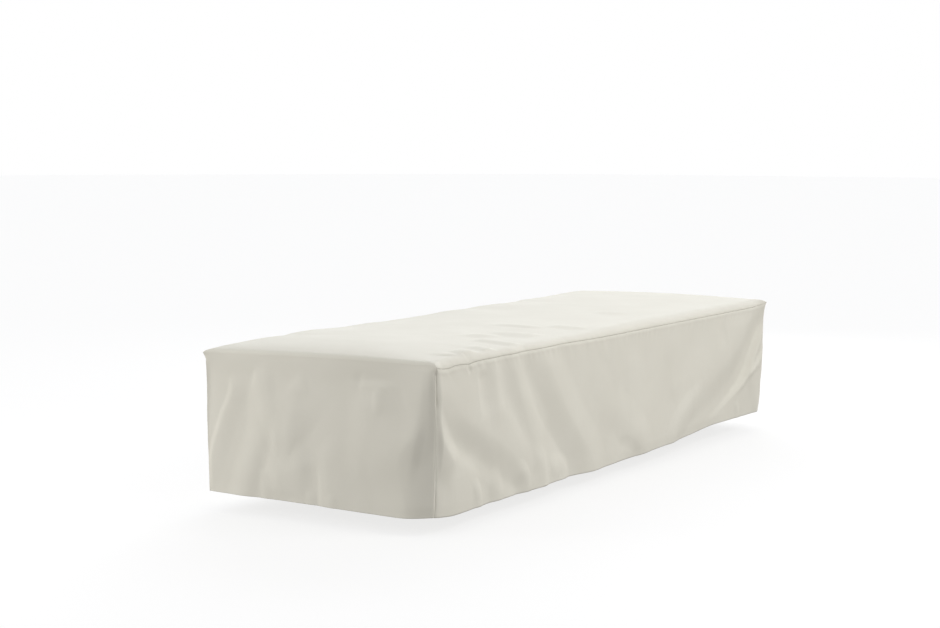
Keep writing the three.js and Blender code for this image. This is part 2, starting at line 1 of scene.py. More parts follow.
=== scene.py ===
import bpy
import math
from collections import namedtuple
import numpy as np
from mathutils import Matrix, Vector


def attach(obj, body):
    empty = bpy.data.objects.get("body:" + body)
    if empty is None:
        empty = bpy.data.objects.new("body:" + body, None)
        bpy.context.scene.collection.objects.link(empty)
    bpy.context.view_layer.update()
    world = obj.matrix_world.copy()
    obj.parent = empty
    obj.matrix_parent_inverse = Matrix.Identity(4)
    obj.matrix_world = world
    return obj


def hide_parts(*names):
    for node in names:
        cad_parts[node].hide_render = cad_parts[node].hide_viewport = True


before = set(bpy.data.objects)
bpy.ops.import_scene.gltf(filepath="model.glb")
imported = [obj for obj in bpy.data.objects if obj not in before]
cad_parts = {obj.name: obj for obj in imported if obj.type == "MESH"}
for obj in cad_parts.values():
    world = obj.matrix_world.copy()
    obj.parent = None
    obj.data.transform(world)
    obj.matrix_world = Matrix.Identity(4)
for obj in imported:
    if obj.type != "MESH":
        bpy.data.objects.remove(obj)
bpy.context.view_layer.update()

# A fitted cloth cover in the shape in which it hangs. One long strip makes the front end, the top
# and the back end, and two side panels close it. Shapes are worked out in millimetres.
mm = 0.001
print("frame loaded")

# Camera, floor and light

cameraSettings = {
    "place": (2.6884, -4.7593, 0.5327),   # metres
    "turned": 31.06,                      # degrees from straight in front of the front end
    "lookingDown": 5.43,
    "lens": 70.81,
    "sensor": 36.0,
    "farthest": 200.0,
}

studio = {
    "floorLevel": -0.4333,
    "floorSize": 40.0,
    "floorColour": (0.26, 0.26, 0.26),
    "floorGlow": 0.75,
    "backdropSize": 45.0,
    "backdropSides": 32,
    "backdropDepth": 1.0,                 # how far its walls reach under the floor
    "backdropColour": (0.0, 0.0, 0.0),
    "backdropGlow": 1.0,
    # brightness of the surroundings from straight down (0) over the horizon (0.5) to straight up (1)
    "skyHeights": [0.0, 0.46, 0.54, 1.0],
    "skyShades": [0.28, 0.32, 1.35, 0.22],
    "skyColours": [(1.0, 0.97, 0.92), (1.0, 0.97, 0.92), (1.0, 0.985, 0.96), (0.96, 1.0, 1.08)],
    "skyScale": 1.2,                      # the ramp holds the shades divided by this
    "dimSide": (0.515, -0.857, 0.0),      # the surroundings are darker towards here
    "dimShare": 0.23,
    "sunsAt": 5.0,                        # distance of the suns, which has no effect on their light
    "boxColour": (1.0, 0.985, 0.96),
}

# Each sun comes from "towards", seen from the cover. "spread" is its width in degrees.
studioLights = {
    "rightLight": {"towards": (0.80, 0.10, 0.59), "strength": 0.32, "spread": 50,
                   "colour": (1.0, 1.0, 1.0)},
    "backLight": {"towards": (-0.36, 0.90, 0.27), "strength": 1.9, "spread": 50,
                  "colour": (0.95, 1.0, 1.10)},
}

# Square lamps, each aimed at a point of the cover. "size" is a side in metres, "power" is in watts.
softboxes = {
    "frontLeftBox": {"place": (-1.9, -2.4, 0.12), "aimedAt": (0.0, -1.0, -0.2), "size": 1.2, "power": 20.0},
    "backBox": {"place": (-1.0, 3.0, 1.3), "aimedAt": (0.0, 0.8, 0.0), "size": 1.4, "power": 17.0},
    "rightBox": {"place": (2.2, -0.2, 1.6), "aimedAt": (0.35, 0.1, -0.1), "size": 0.9, "power": 12.5},
    "rightBackBox": {"place": (3.2, 1.7, 0.45), "aimedAt": (0.35, 0.7, -0.2), "size": 1.4, "power": 8.0},
}


# The camera looks along its turn and its tilt, with no roll.
def addCamera(settings):
    data = bpy.data.cameras.new("photoCamera")
    data.lens = settings["lens"]
    data.sensor_width = settings["sensor"]
    data.clip_end = settings["farthest"]
    turned = math.radians(settings["turned"])
    down = math.radians(settings["lookingDown"])
    level = math.cos(down)
    look = Vector((-math.sin(turned) * level, math.cos(turned) * level, -math.sin(down)))
    camera = bpy.data.objects.new("photoCamera", data)
    camera.location = settings["place"]
    camera.rotation_euler = look.to_track_quat("-Z", "Y").to_euler()
    bpy.context.scene.collection.objects.link(camera)
    bpy.context.scene.camera = camera


# A shader node with the given values of its inputs
def addNode(tree, kind, values=None):
    node = tree.nodes.new("ShaderNode" + kind)
    for name, value in (values or {}).items():
        node.inputs[name].default_value = value
    return node


# Matte paper that also glows by itself
def stageMaterial(name, colour, glow):
    material = bpy.data.materials.new(name)
    material.use_nodes = True
    tree = material.node_tree
    tree.nodes.clear()
    output = addNode(tree, "OutputMaterial")
    both = addNode(tree, "AddShader")
    matte = addNode(tree, "BsdfDiffuse", {"Color": (*colour, 1)})
    light = addNode(tree, "Emission", {"Strength": glow})
    tree.links.new(matte.outputs["BSDF"], both.inputs[0])
    tree.links.new(light.outputs["Emission"], both.inputs[1])
    tree.links.new(both.outputs["Shader"], output.inputs["Surface"])
    material.cycles.emission_sampling = "NONE"
    return material


# The stage only shows to the camera, so the cover's light comes from the lamps and the sky alone.
def stagePiece(name, points, faces, material):
    mesh = bpy.data.meshes.new(name)
    mesh.from_pydata(points, [], faces)
    mesh.materials.append(material)
    piece = bpy.data.objects.new(name, mesh)
    piece.visible_diffuse = False
    piece.visible_glossy = False
    piece.visible_transmission = False
    piece.visible_shadow = False
    bpy.context.scene.collection.objects.link(piece)


# The surroundings: a ramp of shades by height, dimmed towards one side
def studioSky(settings):
    world = bpy.data.worlds.new("studioSky")
    world.use_nodes = True
    tree = world.node_tree
    link = tree.links.new
    background = tree.nodes["Background"]
    direction = addNode(tree, "TexCoord")
    split = addNode(tree, "SeparateXYZ")
    height = addNode(tree, "MapRange", {"From Min": -1})
    shades = addNode(tree, "ValToRGB")
    ramp = shades.color_ramp
    while len(ramp.elements) < len(settings["skyHeights"]):
        ramp.elements.new(0.5)
    for stop, at, shade, colour in zip(ramp.elements, settings["skyHeights"], settings["skyShades"],
                                       settings["skyColours"]):
        stop.position = at
        stop.color = (*(shade * c / settings["skyScale"] for c in colour), 1)
    towards = addNode(tree, "VectorMath")
    towards.operation = "DOT_PRODUCT"
    towards.inputs[1].default_value = settings["dimSide"]
    brightest = settings["skyScale"] * (1 + settings["dimShare"])
    darkest = settings["skyScale"] * (1 - settings["dimShare"])
    dim = addNode(tree, "MapRange", {"From Min": -1, "To Min": brightest, "To Max": darkest})
    link(direction.outputs["Generated"], split.inputs["Vector"])
    link(direction.outputs["Generated"], towards.inputs[0])
    link(split.outputs["Z"], height.inputs["Value"])
    link(height.outputs["Result"], shades.inputs["Fac"])
    link(towards.outputs["Value"], dim.inputs["Value"])
    link(shades.outputs["Color"], background.inputs["Color"])
    link(dim.outputs["Result"], background.inputs["Strength"])
    return world


# A lamp shines from its place against the direction "towards".
def addLamp(name, kind, place, towards, colour):
    data = bpy.data.lights.new(name, kind)
    data.color = colour
    lamp = bpy.data.objects.new(name, data)
    lamp.location = place
    lamp.rotation_euler = towards.to_track_quat("Z", "Y").to_euler()
    bpy.context.scene.collection.objects.link(lamp)
    return data


# A square floor, and far round it a tub turned over: a ring of walls and a lid
def addStage(settings):
    half = settings["floorSize"]
    level = settings["floorLevel"]
    corners = [(-half, -half, level), (half, -half, level), (half, half, level), (-half, half, level)]
    stagePiece("studioFloor", corners, [(0, 1, 2, 3)],
               stageMaterial("floorPaper", settings["floorColour"], settings["floorGlow"]))
    radius = settings["backdropSize"]
    count = settings["backdropSides"]
    turns = np.linspace(0, 2 * math.pi, count + 1)[:-1]
    ring = np.stack([radius * np.cos(turns), radius * np.sin(turns)], axis=1)
    low = [(x, y, level - settings["backdropDepth"]) for x, y in ring]
    high = [(x, y, radius) for x, y in ring]
    walls = [(k, (k + 1) % count, count + (k + 1) % count, count + k) for k in range(count)]
    lid = tuple(range(count, 2 * count))
    stagePiece("studioBackdrop", low + high, [*walls, lid],
               stageMaterial("backdropPaper", settings["backdropColour"], settings["backdropGlow"]))


def addLamps(settings, suns, boxes):
    for name, light in suns.items():
        towards = Vector(light["towards"])
        sun = addLamp(name, "SUN", towards * settings["sunsAt"], towards, light["colour"])
        sun.energy = light["strength"]
        sun.angle = math.radians(light["spread"])
    for name, box in boxes.items():
        place = Vector(box["place"])
        panel = addLamp(name, "AREA", place, place - Vector(box["aimedAt"]), settings["boxColour"])
        panel.size = box["size"]
        panel.energy = box["power"]


def addStudio(settings, suns, boxes):
    addStage(settings)
    bpy.context.scene.world = studioSky(settings)
    addLamps(settings, suns, boxes)
    view = bpy.context.scene.view_settings
    view.view_transform = "Standard"
    view.look = "None"


addCamera(cameraSettings)
addStudio(studio, studioLights, softboxes)
print("camera, floor and light in place")

# Sizes and tables

coverSizes = {
    "topWidth": 700.0,
    "topLength": 2070.0,
    "hemWidth": 680.0,
    "hemLength": 2055.0,
    "skirtDrop": 371.0,
    "topLevel": -4.5,         # the top's heights are measured from here
    "seamLevel": -16.5,
    "frontRoll": 9.0,
    "backRoll": 20.0,
    "cornerRoll": 6.0,
    "cornerRollWidth": 70.0,
    "earReach": 7.0,
    "earLift": 3.0,
    "earFade": 21.0,
    "clothThickness": 1.0,
    "sheetGap": 0.1,          # each sheet is drawn back this far from the seam line
}

# One fold. Its path runs through points of [distance along, drop below the seam]. Height is how far
# the crest stands out, or less than nought for a valley. Widths are how far it reaches on both sides
# of the path: below it, or towards the front where the path runs down, and then on the other side.
# Crease is 0 for a round crest and 1 for a pointed one, and radius rounds its tip. Fades are the
# lengths along the path over which it grows and dies. On the sides the distance along runs from the
# front corner, and on the ends from the left one.
Fold = namedtuple("Fold", "path height widths crease fades radius", defaults=[4.0])

rightFolds = [
    Fold([[-72, 60], [-36, 104], [-2, 150], [38, 202], [74, 242], [100, 276]],
         9.5, (76, 50), 0.6, (20, 64)),
    Fold([[84, 240], [98, 300], [104, 400]], 4, (60, 130), 0, (50, 0)),
    Fold([[-20, 84], [22, 126], [62, 168], [114, 205], [172, 238], [210, 270], [238, 308], [260, 345],
          [286, 400]], -3.4, (45, 70), 0.6, (60, 0)),
    Fold([[40, 140], [140, 205], [245, 262], [325, 305], [395, 345], [445, 390]],
         -3.5, (44, 66), 0.4, (100, 0)),
    Fold([[-90, 40], [40, 98], [135, 136], [225, 172], [305, 215], [385, 262], [445, 305], [474, 345],
          [492, 400]], 5.5, (78, 130), 0.2, (110, 0)),
    Fold([[216, 20], [224, 70], [229, 110], [240, 160]], -4, (26, 60), 0.7, (30, 60)),
    Fold([[268, -20], [283, 40], [288, 90], [298, 140], [315, 185]], 4, (50, 42), 0.6, (30, 60)),
    Fold([[362, -50], [394, 30], [412, 90], [446, 135], [490, 185], [517, 218], [531, 262], [545, 310]],
         5, (62, 70), 0.4, (60, 100)),
    Fold([[290, -40], [330, 60], [375, 122], [430, 188], [500, 262]], -2.5, (50, 60), 0.2, (60, 90)),
    Fold([[414, -60], [440, 22], [459, 66], [496, 128], [530, 180], [597, 241], [650, 290], [700, 342],
          [720, 400]], -6.5, (66, 96), 1, (60, 0)),
    Fold([[508, -70], [562, 45], [628, 132], [678, 192], [748, 258], [803, 305], [831, 345], [850, 400]],
         6.5, (92, 84), 0.5, (130, 0)),
    Fold([[820, 40], [875, 125], [925, 200], [965, 270]], 2, (70, 60), 0, (60, 90)),
    Fold([[868, -20], [884, 30], [900, 80]], 2, (34, 26), 0.1, (20, 50)),
    Fold([[1056, 40], [1068, 120], [1086, 200], [1120, 270]], 2.6, (60, 90), 0, (60, 60)),
    Fold([[930, 180], [1010, 232], [1080, 280], [1130, 318], [1150, 350], [1158, 400]],
         4.6, (74, 70), 0.4, (110, 0)),
    Fold([[1040, 250], [1100, 300], [1170, 344], [1260, 366], [1340, 344], [1420, 286], [1500, 234]],
         8.5, (110, 220), 0, (110, 110)),
    Fold([[990, 330], [1040, 322], [1090, 345], [1120, 380]], -1.6, (22, 26), 0.3, (30, 30)),
    Fold([[1345, 30], [1352, 110], [1362, 190], [1380, 250]], 3, (60, 130), 0, (80, 60)),
    Fold([[1348, 400], [1354, 348], [1374, 318], [1420, 290], [1490, 260], [1580, 230]],
         4.4, (76, 44), 0.5, (30, 90)),
    Fold([[1400, 270], [1510, 230], [1600, 208], [1690, 182], [1780, 142], [1860, 92], [1930, 28],
          [1980, -50]], 8, (104, 170), 0.1, (120, 60)),
    Fold([[1560, 354], [1660, 325], [1740, 298], [1810, 271], [1878, 238], [1926, 202], [1962, 158],
          [2006, 106], [2050, 56], [2090, 6]], -9, (26, 124), 0.25, (400, 0)),
    Fold([[1700, 334], [1770, 316], [1846, 290], [1908, 257], [1948, 220], [1976, 180], [2016, 130],
          [2064, 80], [2092, 50]], 8, (460, 24), 0.4, (340, 0)),
    Fold([[1846, 288], [1908, 255], [1948, 218], [1975, 178], [2014, 128], [2062, 78], [2090, 48]],
         2.6, (20, 11), 0.5, (60, 0), radius=2),
    Fold([[1926, 234], [1966, 216], [2010, 190], [2046, 160], [2076, 140]],
         3.2, (26, 10), 0.5, (40, 0), radius=2),
    Fold([[1915, 250], [1965, 222], [2015, 198], [2080, 165]], 5, (400, 26), 0.4, (50, 0)),
    Fold([[1700, 30], [1722, 80], [1716, 130]], -1.6, (40, 40), 0, (40, 50)),
    Fold([[1846, 310], [1866, 340], [1880, 400]], 1.8, (20, 16), 0.3, (30, 0)),
    Fold([[176, 304], [200, 318], [212, 344], [216, 400]], 2.6, (26, 20), 0.3, (30, 0)),
    Fold([[262, 296], [290, 312], [304, 340], [312, 400]], 3, (36, 34), 0.4, (40, 0)),
    Fold([[380, 296], [420, 312], [446, 340], [456, 400]], 4, (44, 30), 0.5, (50, 0)),
    Fold([[470, 276], [512, 292], [540, 322], [552, 400]], 5, (46, 38), 0.5, (50, 0)),
    Fold([[570, 312], [625, 325], [668, 342], [680, 400]], 3, (40, 34), 0.3, (50, 0)),
    Fold([[147, 1], [156, 12], [165, 28]], -4.4, (9, 10), 0.3, (6, 16), radius=1.5),
]

leftFolds = [
    Fold([[-40, 80], [60, 190], [150, 270], [260, 330], [340, 400]], -5, (50, 90), 0.3, (40, 0)),
    Fold([[420, -60], [500, 100], [580, 210], [690, 310], [760, 400]], 6, (90, 110), 0.1, (140, 0)),
    Fold([[1020, 20], [1060, 160], [1110, 270], [1190, 380]], -4, (90, 90), 0.2, (120, 60)),
    Fold([[1350, 340], [1500, 290], [1660, 220], [1800, 140], [1910, 30], [1960, -60]],
         6, (95, 150), 0, (120, 60)),
    Fold([[1560, 380], [1720, 320], [1860, 240], [1970, 140], [2100, -10]],
         -4.5, (40, 80), 0.4, (120, 0)),
]

frontFolds = [
    Fold([[0, 66], [200, 74], [400, 78], [560, 72], [700, 60]], -2.6, (170, 64), 0, (0, 120)),
    Fold([[90, 45], [88, 95], [75, 130], [59, 163], [44, 202], [29, 242], [10, 290], [-14, 340]],
         3.6, (16, 52), 0.6, (50, 0), radius=3),
    Fold([[166, 20], [180, 70], [186, 120], [182, 190], [158, 260], [130, 330], [112, 400]],
         5, (56, 44), 0.2, (60, 0)),
    Fold([[150, 30], [152, 60], [142, 100]], -1.5, (20, 12), 0.5, (20, 40), radius=2.5),
    Fold([[186, 196], [214, 186], [250, 182], [296, 190], [330, 210]], 9.5, (84, 190), 0.3, (50, 70)),
    Fold([[286, 42], [304, 66], [318, 110]], 1.8, (60, 22), 0.3, (30, 40)),
    Fold([[186, 312], [240, 298], [290, 286], [346, 280]], 5.6, (76, 120), 0.3, (50, 50)),
    Fold([[348, 256], [356, 300], [358, 400]], -2.6, (66, 12), 0.4, (40, 0)),
    Fold([[366, 205], [392, 250], [398, 310], [400, 400]], 2.6, (34, 70), 0.4, (50, 0)),
    Fold([[500, 66], [506, 112], [508, 170], [502, 240], [500, 330]], 3.4, (66, 110), 0.2, (50, 80)),
    Fold([[482, 20], [480, 50], [472, 90]], -1.6, (16, 14), 0.3, (20, 40), radius=2.5),
    Fold([[530, 62], [533, 95], [536, 135]], 1.6, (10, 26), 0.5, (16, 30), radius=2.5),
    Fold([[541, 40], [545, 92], [562, 138], [592, 170], [630, 188], [670, 196]],
         5.5, (110, 64), 0.5, (24, 20)),
    Fold([[668, -20], [664, 60], [656, 130], [640, 175], [614, 213], [606, 250], [616, 290], [624, 335],
          [624, 400]], 7, (100, 70), 0.9, (90, 0)),
    Fold([[420, -40], [424, 200], [420, 400]], 5, (330, 270), 0, (300, 0)),
    Fold([[184, 290], [190, 320], [194, 400]], 1.6, (14, 24), 0.4, (20, 0)),
    Fold([[330, 335], [336, 355], [338, 400]], 1.4, (16, 20), 0.2, (20, 0)),
    Fold([[396, 335], [404, 355], [406, 400]], 1.4, (18, 16), 0.2, (20, 0)),
]

backFolds = [
    Fold([[110, -10], [140, 120], [120, 240], [90, 400]], 5, (65, 60), 0.1, (90, 0)),
    Fold([[330, 60], [350, 200], [340, 320], [350, 400]], -3.5, (70, 60), 0.2, (100, 0)),
    Fold([[560, 0], [540, 140], [580, 260], [620, 400]], 5, (60, 80), 0.1, (90, 0)),
]

# Wrinkles across the top, as [distance along, distance in from the right seam].
topFolds = [
    Fold([[104, 26], [118, 50], [128, 84]], 3.4, (44, 24), 0.2, (14, 30)),
    Fold([[176, -20], [184, 24], [192, 80]], 8, (72, 42), 0.2, (10, 50)),
    Fold([[280, 0], [284, 34], [292, 88]], 4, (42, 26), 0.2, (22, 36)),
    Fold([[428, 6], [432, 76], [424, 156]], 5, (50, 32), 0.2, (30, 44)),
    Fold([[526, 130], [530, 184], [524, 240]], 4, (62, 40), 0.2, (40, 44)),
    Fold([[644, 56], [634, 120], [612, 212]], 5, (80, 46), 0.2, (40, 50)),
    Fold([[822, 160], [820, 240], [830, 330]], 3.4, (46, 40), 0.1, (46, 60)),
    Fold([[866, 46], [884, 104], [892, 176]], 4.4, (60, 36), 0.2, (40, 40)),
    Fold([[1312, 130], [1320, 186], [1314, 256]], 3.8, (66, 50), 0.1, (46, 50)),
]

# Rise of each long seam, and how far each hem hangs below the plain one
rightSeam = {
    "at": [0, 14, 40, 62, 88, 112, 138, 157, 178, 210, 350, 680, 760, 900, 1200, 1785, 2030, 2070],
    "rise": [1, -3, -6, -6.3, -3, -3, -4.2, -5.4, -2.6, -1.2, -1, -0.8, -2.6, -4.5, -5, -6, -4.5, 0],
}
leftSeam = {
    "at": [0, 60, 700, 1400, 2020, 2070],
    "rise": [-4, -8, -5, -7, -5, 0],
}
rightHem = {
    "at": [0, 80, 670, 900, 1100, 1470, 1700, 2070],
    "longer": [0, 4, 5, 9, 6, -1, -10, -8],
}
leftHem = {"at": [0, 500, 1200, 2070], "longer": [-3, 3, 5, -4]}
frontHem = {"at": [0, 350, 600, 700], "longer": [-3, 0, 5, 0]}
backHem = {"at": [0, 350, 700], "longer": [-4, 1, -8]}

# How far each upright seam sits in from the plain box, by drop
cornerInsets = {
    "frontRight": {"at": [0, 30, 60, 120, 220, 300, 371], "x": [0, 0.5, 0.5, 1, 6, 9, 9],
                   "y": [0, 2, 5, 9, 17, 19, 18]},
    "frontLeft": {"at": [0, 60, 200, 371], "x": [-4, -8, -14, -19], "y": [0, 1, 3, 4]},
    "backRight": {"at": [0, 60, 200, 300, 371], "x": [0, 0.5, 2, 3, 3], "y": [0, -5, -11, -11, -2]},
    "backLeft": {"at": [0, 200, 371], "x": [0, 2, 3], "y": [0, 3, 6]},
}

# Height of the top's outer face beside the left seam, which shows as the far outline
leftEdge = {
    "at": [0, 20, 40, 80, 130, 200, 250, 285, 330, 400, 450, 520, 560, 620, 700, 760, 900, 1000,
           1130, 1240, 1330, 1400, 1480, 1560, 1620, 1740, 1850, 2000, 2070],
    "height": [-7, -3, -0.5, 2, 4, 5.5, 5, 3.8, 6.8, 8.5, 7, 4, 2.8, 3, 3.6, 1.6, 1.4, 2,
               5, 2.4, 5, 4.4, 1.3, 0.8, 3.4, 1.6, 3, 5, -1],
}

# The top by distance along: its height in the middle and beside the right seam, and how far the
# turn down to each seam reaches in
topShape = {
    "at": [0, 20, 40, 80, 130, 200, 300, 450, 600, 860, 1035, 1110, 1540, 2000, 2070],
    "middle": [2, 6.6, 10.2, 14.2, 16.8, 18.4, 17.4, 14, 10, 7.2, 6.1, 6, 7, 9, 6.5],
    "right": [1, 2.8, 3.8, 4.6, 4.6, 4, 2.4, 0.6, 0.4, 1, 3, 4, 1.5, 0, -2],
    "leftRoll": [30, 32, 36, 40, 42, 42, 42, 42, 42, 42, 42, 42, 42, 40, 30],
    "rightRoll": [27, 26, 25, 23, 21, 20, 21, 22, 24, 32, 39, 42, 40, 36, 30],
}

# The cloth over the hem turns in: by an even share of the depth, more or less an uneven one.
hemTuck = {"above": 32.0, "depth": 2.0, "evenShare": 0.6, "unevenShare": 0.8, "length": 90.0}

# Cloth near an upright seam settles towards it over a width that grows down the skirt. The left
# side settles over a wide stretch from the top on.
cornerSettle = {"top": 34.0, "hem": 70.0, "grows": 200.0}
wideSettle = {"top": 220.0, "hem": 220.0, "grows": 200.0}
cornerShift = 200.0           # how far along a side its points follow the upright seam
gentleTurnDrop = 45.0         # over this drop the ends' turn to the sides goes from round to gentle

# Folds ease off over these distances from a seam, and only a share of them reaches the long seam.
foldEdgeFade = 18.0
backEdgeFade = 46.0
seamShareOfFold = 0.5
seamShareFade = 60.0
pathPieces = 54               # short lines that make a fold's path

# Where two panels meet, both dip into a narrow groove, and the cloth beside it swells in a low lip.
seamLooks = {
    "grooveDepth": 1.8,
    "topGroove": 12.0,        # how fast the groove dies away on the strip's rolled edge
    "uprightGroove": 2.2,     # on its upright edges
    "sideGroove": 4.5,        # and on the side panels
    "lipHeight": 0.6,
    "lipAt": 9.0,
    "lipWidth": 6.0,
    "uneven": 0.35,
    "unevenLength": 16.0,
    "grooveFrom": 4.0,        # the groove's width changes over this stretch under the top corner
    "grooveOver": 24.0,
    # shares of the groove's depth, by place along the seam line and by drop
    "alongAt": [0, 14, 135, 175],
    "alongDepth": [1, 0.3, 0.3, 1],
    "uprightAt": [0, 20, 100, 150, 235, 280, 371],
    "uprightDepth": [1, 1.7, 1.6, 0.35, 0.35, 1.2, 1.3],
    "ridgeHeight": 1.3,       # of a low ridge on the ends beside the upright seams
    "ridgeAt": 3.0,
    "ridgeWidth": 2.6,
    "ridgeStart": 2.0,
    "ridgeFrom": 6.0,
    "ridgeOver": 20.0,
    "turnOver": 15.0,
    "endFade": 20.0,          # lips and gathers ease off towards a corner
    "pucker": 0.5,
    "puckerLength": 10.0,
    "puckerReach": 9.0,
    "puckerSeed": 71,
    "puckerShare": 0.7,       # of the gathers, upwards and outwards, on the top's rolled edge
}

# Slight unevenness of the cloth: heights and sizes of a wide and a small set of swells
clothSwells = {"wide": 0.55, "wideSize": 75.0, "small": 0.16, "smallSize": 24.0, "seamFade": 14.0}

# The random heights behind the swells: cells of the square grid, their largest height, and where
# the sampling starts
swellGrid = {"cells": 64, "height": 1.7, "startU": 7.3, "startV": 5.1}

# On the top, wrinkles and swells start this far in from a seam or an end and grow over this width.
topLooks = {
    "wrinkleFrom": 4.0, "wrinkleOver": 20.0, "wrinkleEndFrom": 10.0, "wrinkleEndOver": 40.0,
    "swellFrom": 10.0, "swellEndFrom": 5.0, "swellEndOver": 30.0, "seed": 53,
}

# Working out the shapes


# Eased step: 3tt - 2ttt, with t held between 0 and 1
def eased(t):
    t = np.clip(t, 0.0, 1.0)
    return t * t * (3.0 - 2.0 * t)


def mix(a, b, share):
    return a + (b - a) * share


# Cubic through a table's rows. Its slope at a row is the harmonic mean of the slopes on both sides,
# and nought where they turn.
def tableAt(table, column, at):
    x = np.array(table["at"], float)
    y = np.array(table[column], float)
    gaps = np.diff(x)
    slopes = np.diff(y) / gaps
    same = slopes[:-1] * slopes[1:] > 0
    total = np.where(same, slopes[:-1] + slopes[1:], 1.0)
    inner = np.where(same, 2 * slopes[:-1] * slopes[1:] / total, 0.0)
    tangents = np.concatenate([[slopes[0]], inner, [slopes[-1]]])
    k = np.clip(np.searchsorted(x, at) - 1, 0, len(x) - 2)
    t = np.clip((at - x[k]) / gaps[k], 0.0, 1.0)
    rise = t * t * (3 - 2 * t)
    start = t * (1 - t) ** 2 * gaps[k]
    finish = -t * t * (1 - t) * gaps[k]
    return mix(y[k], y[k + 1], rise) + start * tangents[k] + finish * tangents[k + 1]


# Smooth curve through a path's points: a uniform Catmull-Rom spline
def curveThrough(path, pieces):
    points = np.array(path, float)
    last = len(points) - 1
    t = np.linspace(0, last, pieces + 1)
    k = np.minimum(t.astype(int), last - 1)
    w = (t - k)[:, None]
    before = points[np.maximum(k - 1, 0)]
    here = points[k]
    there = points[k + 1]
    after = points[np.minimum(k + 2, last)]
    leave = (there - before) / 2
    arrive = (after - here) / 2
    cubic = (2 * here - 2 * there + leave + arrive) * w ** 3
    square = (-3 * here + 3 * there - 2 * leave - arrive) * w ** 2
    return cubic + square + leave * w + here


# Nearest place of each point on a path of short lines: the squared distance, the side as the sign of
# a cross product, the length travelled so far and the path's whole length
def nearestOnPath(line, a, d):
    nearest = np.full(a.shape, np.inf)
    side = np.zeros(a.shape)
    travelled = np.zeros(a.shape)
    walked = 0.0
    for start, finish in zip(line[:-1], line[1:]):
        step = finish - start
        length = math.hypot(step[0], step[1])
        share = ((a - start[0]) * step[0] + (d - start[1]) * step[1]) / length ** 2
        share = np.clip(share, 0.0, 1.0)
        offA = a - start[0] - share * step[0]
        offD = d - start[1] - share * step[1]
        away = offA ** 2 + offD ** 2
        closer = away < nearest
        nearest = np.where(closer, away, nearest)
        side = np.where(closer, step[0] * offD - step[1] * offA, side)
        travelled = np.where(closer, walked + share * length, travelled)
        walked += length
    return nearest, side, travelled, walked


# One fold: its height, times a profile of the distance q from its path, times its growth and its
# dying along the path. The profile mixes a squared cosine with an even slope 1 - 8q/7 that ends in
# a square, (1-q)(1-q)16/7, from q = 3/4 on.
def foldHeight(fold, line, a, d):
    nearest, side, travelled, walked = nearestOnPath(line, a, d)
    below, above = fold.widths
    fadeIn, fadeOut = fold.fades
    width = np.where(side > 0, below, above)
    across = np.minimum((np.sqrt(nearest + fold.radius ** 2) - fold.radius) / width, 1.0)
    rounded = np.cos(across * math.pi / 2) ** 2
    pointed = np.where(across < 0.75, 1 - across * 8 / 7, (1 - across) ** 2 * 16 / 7)
    height = fold.height * mix(rounded, pointed, fold.crease)
    if fadeIn > 0:
        height = height * eased(travelled / fadeIn)
    if fadeOut > 0:
        height = height * eased((walked - travelled) / fadeOut)
    return height


# Sum of folds over a panel, each worked out only within its reach
def foldField(folds, along, drop):
    total = np.zeros(along.shape)
    for fold in folds:
        line = curveThrough(fold.path, pathPieces)
        reach = max(fold.widths)
        low = line.min(axis=0) - reach
        high = line.max(axis=0) + reach
        near = (along > low[0]) & (along < high[0]) & (drop > low[1]) & (drop < high[1])
        if near.any():
            total[near] += foldHeight(fold, line, along[near], drop[near])
    return total


# Smooth random swells between about -1 and 1: random heights on a grid of squares,
# joined by cubic B-splines both ways
def swells(u, v, size, seed):
    cells = swellGrid["cells"]
    top = swellGrid["height"]
    heights = np.random.default_rng(seed).uniform(-top, top, (cells, cells))
    u = u / size + swellGrid["startU"]
    v = v / size + swellGrid["startV"]
    i = np.floor(u).astype(int)
    j = np.floor(v).astype(int)
    fu = u - i
    fv = v - j

    def weights(t):
        return ((1 - t) ** 3 / 6, (3 * t ** 3 - 6 * t * t + 4) / 6,
                (-3 * t ** 3 + 3 * t * t + 3 * t + 1) / 6, t ** 3 / 6)

    total = np.zeros(np.broadcast(u, v).shape)
    for a, wa in enumerate(weights(fu)):
        for b, wb in enumerate(weights(fv)):
            total = total + wa * wb * heights[(i + a) % cells, (j + b) % cells]
    return total


# Half the cover's width and length, narrowing evenly from the top to the hem
def halfWidth(drop):
    return mix(coverSizes["topWidth"], coverSizes["hemWidth"], drop / coverSizes["skirtDrop"]) / 2


def halfLength(drop):
    return mix(coverSizes["topLength"], coverSizes["hemLength"], drop / coverSizes["skirtDrop"]) / 2


# How far the cloth turns in over the hem: an eased growth towards the hem of an uneven depth
def tuckAt(along, drop, seed):
    fromHem = coverSizes["skirtDrop"] - drop
    uneven = swells(along, 0 * drop, hemTuck["length"], seed)
    depth = hemTuck["depth"] * (hemTuck["evenShare"] + hemTuck["unevenShare"] * uneven)
    return depth * eased(1 - fromHem / hemTuck["above"])


# Share of a corner inset at a distance from the seam: the square of what is left of its reach
def settleAt(fromEdge, drop, settle):
    grown = eased(drop / settle["grows"])
    reach = mix(settle["top"], settle["hem"], grown)
    return np.maximum(1 - fromEdge / reach, 0) ** 2


# Wide and small swells together, easing off towards a seam
def swellField(u, v, fromSeam, seed):
    wide = swells(u, v, clothSwells["wideSize"], seed) * clothSwells["wide"]
    small = swells(u, v, clothSwells["smallSize"], seed + 1) * clothSwells["small"]
    return (wide + small) * eased(fromSeam / clothSwells["seamFade"])


